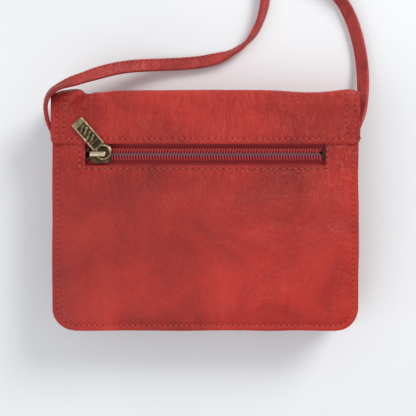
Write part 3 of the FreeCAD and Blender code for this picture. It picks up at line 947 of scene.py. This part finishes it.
def cloth_material(name, colour, dark, ribs):
    """Woven cloth with fine crossing ribs, darker low between them as painted shade in the weave."""
    material, nodes, links, shader = new_material(name)
    place = object_place(nodes)
    along = add_node(nodes, "ShaderNodeTexWave", Scale=ribs, Distortion=0.4)
    across = add_node(nodes, "ShaderNodeTexWave", Scale=ribs, Distortion=0.4)
    across.bands_direction = "Y"
    both = add_node(nodes, "ShaderNodeMath", operation="MULTIPLY")
    links.new(place, along.inputs["Vector"])
    links.new(place, across.inputs["Vector"])
    links.new(along.outputs["Fac"], both.inputs[0])
    links.new(across.outputs["Fac"], both.inputs[1])
    # The dark colour sits where the ribs dip: painted shade in the weave.
    links.new(ramp(nodes, links, both.outputs[0], [(0.0, dark), (0.6, colour)]), shader.inputs["Base Color"])
    weave = bump_over(nodes, links, both.outputs[0], Strength=0.5, Distance=0.0002)
    links.new(weave.outputs["Normal"], shader.inputs["Normal"])
    shader.inputs["Roughness"].default_value = 0.85
    return material


# Painted shade across the teeth, by distance from the zip's middle: dark where the rows meet and where they
# go down to the tapes.
TOOTH_SHADE_SPREAD_PER_METRE = 250.0
TOOTH_SHADE_TINTS = [(0.12, (0.19, 0.075, 0.085)), (0.34, (0.50, 0.035, 0.04)), (0.95, (0.34, 0.02, 0.022))]


def shaded_tooth_material():
    """Teeth coloured by distance from the zip's middle: a dusky painted shade where the two rows meet, red
    beside that, and a deeper red painted shade at the tapes.
    """
    material, nodes, links, shader = new_material("zip_teeth")
    place = object_place(nodes)
    split = nodes.new("ShaderNodeSeparateXYZ")
    links.new(place, split.inputs[0])
    off = add_node(nodes, "ShaderNodeMath", operation="SUBTRACT")
    off.inputs[1].default_value = ZIP_Y
    links.new(split.outputs["Y"], off.inputs[0])
    away = add_node(nodes, "ShaderNodeMath", operation="ABSOLUTE")
    links.new(off.outputs[0], away.inputs[0])
    spread = add_node(nodes, "ShaderNodeMath", operation="MULTIPLY")
    spread.inputs[1].default_value = TOOTH_SHADE_SPREAD_PER_METRE
    links.new(away.outputs[0], spread.inputs[0])
    links.new(ramp(nodes, links, spread.outputs[0], TOOTH_SHADE_TINTS), shader.inputs["Base Color"])
    shader.inputs["Roughness"].default_value = 0.38
    return material


zip_cloth = cloth_material("zip_cloth", (0.50, 0.032, 0.034), (0.24, 0.014, 0.016), 900.0)
lining_cloth = cloth_material("lining_cloth", (0.20, 0.10, 0.075), (0.12, 0.055, 0.04), 700.0)
zip_teeth = shaded_tooth_material()


def make_tapes():
    for side, node in ((1, "zip_tape_upper"), (-1, "zip_tape_lower")):
        lo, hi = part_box(node)

        def place(u, v, side=side, lo=lo, hi=hi):
            x = lo.x + (hi.x - lo.x) * u
            y = lo.y + (hi.y - lo.y) * v
            away = abs(y - ZIP_Y)
            z = hi.z - 0.5 * MM * bump(away, 4.8 * MM, 1.2 * MM) + 0.1 * MM * ripple(x, y, 9 * MM, 6.1 + side)
            return Vector((x, y, z))

        tape = thicken(link_new(node + "_cloth", sheet_mesh(150, 16, place), zip_cloth), hi.z - lo.z)
        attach(tape, "bag")
        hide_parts(node)


def coil_centres(side, lo, hi):
    """Centre line of one row of teeth: a flattened spiral along the zip."""
    turns = round((hi.x - lo.x) / TOOTH_PITCH) - 1
    outer = (coil_up_hi.y - ZIP_Y) - COIL_WIRE_R
    middle_y, half_y = (outer - COIL_OVERLAP) / 2, (outer + COIL_OVERLAP) / 2
    half_z = COIL_HEIGHT / 2 - COIL_WIRE_R
    shift = 0.0 if side > 0 else TOOTH_PITCH / 2
    centres = []
    for i in range(turns * STEPS_PER_TURN + 1):
        t = 2 * math.pi * i / STEPS_PER_TURN
        x = lo.x + 0.9 * MM + shift + TOOTH_PITCH * (i / STEPS_PER_TURN - 0.18 * math.sin(t))
        y = ZIP_Y + side * (middle_y - half_y * math.cos(t))
        centres.append(Vector((x, y, (lo.z + hi.z) / 2 + half_z * math.sin(t))))
    return centres


def make_coils():
    """Two rows of coil teeth, each with a mesh of its own."""
    for side, node, lo, hi in ((1, "zip_coil_upper", coil_up_lo, coil_up_hi),
                               (-1, "zip_coil_lower", coil_low_lo, coil_low_hi)):
        centres = coil_centres(side, lo, hi)

        def place(u, v, centres=centres):
            i = round(u * (len(centres) - 1))
            ahead = (centres[min(i + 1, len(centres) - 1)] - centres[max(i - 1, 0)]).normalized()
            first = ahead.cross(Vector((1, 0, 0))).normalized()
            second = ahead.cross(first).normalized()
            angle = 2 * math.pi * v
            return centres[i] + COIL_WIRE_R * (first * math.cos(angle) + second * math.sin(angle))

        coil = link_new(node + "_wire", sheet_mesh(len(centres) - 1, 7, place, closed=True), zip_teeth)
        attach(coil, "bag")
        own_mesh(coil)
        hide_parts(node)


make_tapes()
make_coils()


# ---- slider and pull ----
def brass_material():
    """Aged brass: dark dull patches, and brighter ones where it is rubbed."""
    material, nodes, links, shader = new_material("antique_brass")
    place = object_place(nodes)
    wear = noise_at(nodes, links, place, Scale=480.0, Detail=5.0, Roughness=0.65)
    stops = [(0.32, (0.12, 0.09, 0.055)), (0.55, (0.36, 0.27, 0.15)), (0.75, (0.62, 0.50, 0.31))]
    links.new(ramp(nodes, links, wear.outputs["Fac"], stops), shader.inputs["Base Color"])
    links.new(grey_ramp(nodes, links, wear.outputs["Fac"], 0.5, 0.3, (0.35, 0.7)), shader.inputs["Roughness"])
    shader.inputs["Metallic"].default_value = 1.0
    scratch = bump_over(nodes, links, wear.outputs["Fac"], Strength=0.15, Distance=0.0001)
    links.new(scratch.outputs["Normal"], shader.inputs["Normal"])
    return material


antique_brass = brass_material()
DARK_TINTS = [(0.03, 0.02, 0.012), (0.08, 0.055, 0.03), (0.2, 0.15, 0.09)]
# A lighter copy of the brass for the slider's raised bridge: a painted highlight.
HIGHLIGHT_TINTS = [(0.50, 0.41, 0.27), (0.68, 0.58, 0.41), (0.80, 0.72, 0.55)]
STEEL_TINTS = [(0.30, 0.30, 0.30), (0.55, 0.55, 0.54), (0.7, 0.7, 0.69)]
dark_brass = retinted(antique_brass, "dark_brass", DARK_TINTS)
highlit_brass = retinted(antique_brass, "highlit_brass", HIGHLIGHT_TINTS)
snap_metal = retinted(antique_brass, "snap_metal", STEEL_TINTS)

FOOT_X = slider_lo.x + 9.55 * MM
EYE_R = 4.9 * MM
HOLE_R = 3.4 * MM
PULL_THICK = 1.1 * MM
PULL_ANGLE = math.radians(131.2)
EYE_ANGLE = math.radians(121.2)
EYE_AWAY = 1.5 * MM
PLATE_START = 3.9 * MM
PLATE_LONG = 20.7 * MM
PLATE_HALF = 4.05 * MM
SUNK = 0.35 * MM
DARK_BELOW = 0.24 * MM
BORDER = 0.75 * MM
CROSS_BAR = 4.4 * MM
PANEL_START, PANEL_END = 5.4 * MM, 16.0 * MM
BAR_WAVE = 0.46 * MM
BAR_REACH = 2.1 * MM
PATCH_START = 16.8 * MM
pull_lo, pull_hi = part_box("pull_tab")
EYE = Vector((FOOT_X + EYE_AWAY * math.cos(EYE_ANGLE), ZIP_Y + EYE_AWAY * math.sin(EYE_ANGLE), pull_hi.z))


def to_pull(p):
    """From the pull's own frame, with the eye's centre at 0, to the bag's."""
    c, s = math.cos(PULL_ANGLE), math.sin(PULL_ANGLE)
    return Vector((EYE.x + c * p.x - s * p.y, EYE.y + s * p.x + c * p.y, EYE.z + p.z))


def plate_height(s, across):
    """Relief of the pull's face: a raised border round a sunk panel with slanted bars."""
    edge = min(s, PLATE_LONG - s, PLATE_HALF - abs(across))
    border = 1 - smooth(BORDER, BORDER + 0.3 * MM, edge)
    cross = bump(s, CROSS_BAR, 0.35 * MM)
    panel = smooth(PANEL_START, PANEL_START + 0.5 * MM, s) * (1 - smooth(PANEL_END, PANEL_END + 0.4 * MM, s))
    bars = smooth(0.15, 0.5, math.sin((s + 0.55 * across) / BAR_WAVE))
    bars *= 1 - smooth(BAR_REACH, BAR_REACH + 0.3 * MM, abs(across))
    patch = smooth(PATCH_START, PATCH_START + 0.3 * MM, s)
    return -SUNK * (1 - max(border, cross, 0.85 * bars * panel, 0.8 * patch))


def plate_half(s):
    """Half width of the pull's plate, with rounded corners."""
    r = 0.9 * MM
    near = min(s, PLATE_LONG - s)
    if near < r:
        return PLATE_HALF - r + math.sqrt(max(r * r - (r - near) ** 2, 0))
    return PLATE_HALF


def pull_plate(u, v):
    s = PLATE_LONG * u
    across = (2 * v - 1) * plate_half(s)
    round_off = 0.18 * MM * (1 - smooth(0, 0.5 * MM, min(s, PLATE_LONG - s, PLATE_HALF - abs(across))))
    bend = 0.25 * MM * (u - 0.5) ** 2
    return to_pull(Vector((PLATE_START + s, across, plate_height(s, across) - round_off - bend)))


def pull_eye(u, v):
    angle, turn = 2 * math.pi * u, 2 * math.pi * v
    middle, half = (EYE_R + HOLE_R) / 2, (EYE_R - HOLE_R) / 2
    c, s = math.cos(turn), math.sin(turn)
    r = middle + half * math.copysign(abs(c) ** 0.7, c)
    z = -PULL_THICK / 2 + PULL_THICK / 2 * math.copysign(abs(s) ** 0.7, s)
    return to_pull(Vector((r * math.cos(angle), r * math.sin(angle), z)))


def make_pull():
    plate = link_new("pull_plate", sheet_mesh(150, 54, pull_plate), antique_brass)
    plate.data.materials.append(dark_brass)
    for polygon in plate.data.polygons:
        sunk = EYE.z - polygon.center.z
        polygon.material_index = 1 if sunk > DARK_BELOW else 0
    thicken(plate, PULL_THICK * 0.7)
    eye = link_new("pull_eye", sheet_mesh(64, 14, pull_eye, closed=True), antique_brass)
    for piece in (plate, eye):
        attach(piece, "pull")
    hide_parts("pull_tab")


def slider_half(share):
    """Half width of the slider's plate along its length, round at the nose."""
    half = (slider_hi.y - slider_lo.y) / 2
    nose = smooth(0, 1, min(share / 0.34, 1)) ** 0.5
    tail = 1 - 0.16 * smooth(0.72, 1.0, share)
    return half * (0.25 + 0.75 * nose) * tail * (1 - 0.10 * bump(share, 0.62, 0.16))


def slider_face(u, v, z, dome, inset):
    """Top face of one of the slider's plates, low at its rim."""
    x = slider_lo.x + inset + (slider_hi.x - slider_lo.x - 2 * inset) * u
    across = (2 * v - 1) * (slider_half(u) - inset)
    rim = min(slider_half(u) - abs(across), slider_hi.x - x, x - slider_lo.x + 1 * MM)
    rise = dome * smooth(0, 1.6 * MM, rim) - 0.12 * MM * bump(rim, 1.2 * MM, 0.25 * MM)
    return Vector((x, ZIP_Y + across, z + rise))


def add_block(bm, lo, hi):
    """Plain block between two corners."""
    centre = (Vector(lo) + Vector(hi)) / 2
    size = Matrix.Diagonal((*(Vector(hi) - Vector(lo)), 1))
    bmesh.ops.create_cube(bm, size=1, matrix=Matrix.Translation(centre) @ size)


def bridge_surface(u, v):
    """The bridge: a flattened bar that bends down into a foot at each end."""
    left, right = FOOT_X - 8.3 * MM, FOOT_X + 0.1 * MM
    z_low, z_high = pull_lo.z - 0.3 * MM, slider_hi.z - 0.6 * MM
    rise = z_high - z_low
    run = rise * 2 + (right - left)
    s = run * u
    if s < rise:
        p, out = Vector((left, ZIP_Y, z_low + s)), Vector((-1, 0, 0))
    elif s > run - rise:
        p, out = Vector((right, ZIP_Y, z_low + run - s)), Vector((1, 0, 0))
    else:
        p, out = Vector((left + s - rise, ZIP_Y, z_high)), Vector((0, 0, 1))
    r = 0.9 * MM
    top = smooth(0, r, s - rise + r) * (1 - smooth(0, r, s - run + rise))
    wide = (0.8 + 0.7 * top) * MM
    angle = 2 * math.pi * v
    return p + Vector((0, wide * math.cos(angle), 0)) + out * 0.6 * MM * math.sin(angle)


def slider_core(low_z, high_z):
    """Neck at the nose, and a lip along each side that stands clear of the teeth."""
    bm = bmesh.new()
    nose = slider_lo.x + 0.8 * MM
    neck_half = 1.2 * MM
    add_block(bm, (nose, ZIP_Y - neck_half, low_z), (nose + 2.6 * MM, ZIP_Y + neck_half, high_z))
    lip_start, lip_end = slider_hi.x - 6.6 * MM, slider_hi.x - 2.2 * MM
    for side in (-1, 1):
        edge = [ZIP_Y + side * 4.2 * MM, ZIP_Y + side * 5.0 * MM]
        add_block(bm, (lip_start, min(edge), coil_up_hi.z + 0.1 * MM), (lip_end, max(edge), high_z))
    core = link_new("slider_core", bm, dark_brass)
    core.modifiers.new("edge", "BEVEL").width = 0.25 * MM
    return core


def make_slider():
    top_z = pull_lo.z - 0.35 * MM
    low_z = slider_lo.z + 0.8 * MM
    top_sheet = sheet_mesh(56, 40, lambda u, v: slider_face(u, v, top_z - 0.3 * MM, 0.35 * MM, 0))
    low_sheet = sheet_mesh(40, 26, lambda u, v: slider_face(u, v, low_z, 0.05 * MM, 0.5 * MM))
    top = link_new("slider_top", top_sheet, dark_brass)
    low = link_new("slider_low", low_sheet, dark_brass)
    thicken(top, 0.75 * MM, 0.15 * MM)
    thicken(low, 0.8 * MM, 0.15 * MM)
    core = slider_core(slider_lo.z + 0.3 * MM, top_z - 0.4 * MM)
    # The raised bridge takes the lighter brass, a painted highlight.
    bridge = link_new("slider_bridge", sheet_mesh(64, 14, bridge_surface, closed=True), highlit_brass)
    for piece in (top, low, core, bridge):
        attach(piece, "slider")
    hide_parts("slider")


make_pull()
make_slider()


# ---- gusset: a soft strip round the sides and bottom, turned out along both panels ----
GUSSET_WALL = 1.2 * MM
gusset_lo, gusset_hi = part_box("gusset_left")


def gusset_path(share):
    """Place and outward direction at a share of the way round, on the bag's outline."""
    r = CORNER_R
    side_run = gusset_hi.y - (BOTTOM_Y + r)
    arc = r * math.pi / 2
    low_run = 2 * (HALF_W - r)
    run = share * (2 * side_run + 2 * arc + low_run)
    if run <= side_run:
        return Vector((-HALF_W, gusset_hi.y - run, 0)), Vector((-1, 0, 0))
    run -= side_run
    if run <= arc:
        angle = math.pi + run / r
        out = Vector((math.cos(angle), math.sin(angle), 0))
        return Vector((-HALF_W + r, BOTTOM_Y + r, 0)) + out * r, out
    run -= arc
    if run <= low_run:
        return Vector((-HALF_W + r + run, BOTTOM_Y, 0)), Vector((0, -1, 0))
    run -= low_run
    if run <= arc:
        angle = 1.5 * math.pi + run / r
        out = Vector((math.cos(angle), math.sin(angle), 0))
        return Vector((HALF_W - r, BOTTOM_Y + r, 0)) + out * r, out
    run -= arc
    return Vector((HALF_W, BOTTOM_Y + r + run, 0)), Vector((1, 0, 0))


# Half of the strip's section, in millimetres, as (inset, depth), from the back panel to its middle.
GUSSET_DEPTH = 16.9
GUSSET_PROFILE = [
    (0.0, 0.0), (1.6, 0.0), (3.6, 0.1), (5.1, 0.6),
    (5.9, 2.0), (6.0, 4.2), (6.0, GUSSET_DEPTH / 2),
]


def gusset_place(u, v):
    """The outer face of the strip: out along one panel, in to the wall, and out along the other."""
    spot, out = gusset_path(u)
    steps = GUSSET_PROFILE + [(inset, GUSSET_DEPTH - depth) for inset, depth in reversed(GUSSET_PROFILE[:-1])]
    inset, depth = steps[round(v * (len(steps) - 1))]
    wave = ripple(spot.x + spot.y, spot.z, 30 * MM, 9.3)
    belly = 0.5 * MM * math.sin(math.pi * depth / GUSSET_DEPTH) ** 2 * wave
    z = gusset_hi.z - GUSSET_WALL / 2 - (gusset_hi.z - gusset_lo.z - GUSSET_WALL) * depth / GUSSET_DEPTH
    inward = 0.5 * MM + inset * MM + abs(belly)
    return Vector((spot.x, spot.y, z)) - out * inward


def make_gusset():
    gusset = link_new("gusset_leather", sheet_mesh(260, 12, gusset_place), red_leather)
    wall = gusset.modifiers.new("wall", "SOLIDIFY")
    wall.thickness = GUSSET_WALL * 0.9
    wall.offset = 0
    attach(gusset, "bag")
    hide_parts("gusset_left", "gusset_right", "gusset_bottom")


make_gusset()


# ---- the pieces that keep their CAD shape ----
KEPT = {
    "front_panel": red_leather, "front_pocket": red_leather, "mouth_binding": inner_leather,
    "main_lining": lining_cloth, "zip_pocket_bag": lining_cloth, "flap_lining": inner_leather,
    "flap_stiffener": inner_leather, "strap_end_left": strap_leather, "strap_end_right": strap_leather,
    "snap_stud": snap_metal, "snap_stud_washer": snap_metal, "snap_socket": snap_metal,
    "snap_socket_washer": snap_metal, "zip_top_stops": dark_brass, "zip_bottom_stop": dark_brass,
}
for name, material in KEPT.items():
    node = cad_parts[name]
    node.data.materials.clear()
    node.data.materials.append(material)
    soften_edges(node, 0.3 * MM)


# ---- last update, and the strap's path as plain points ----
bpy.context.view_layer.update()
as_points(strap_path)
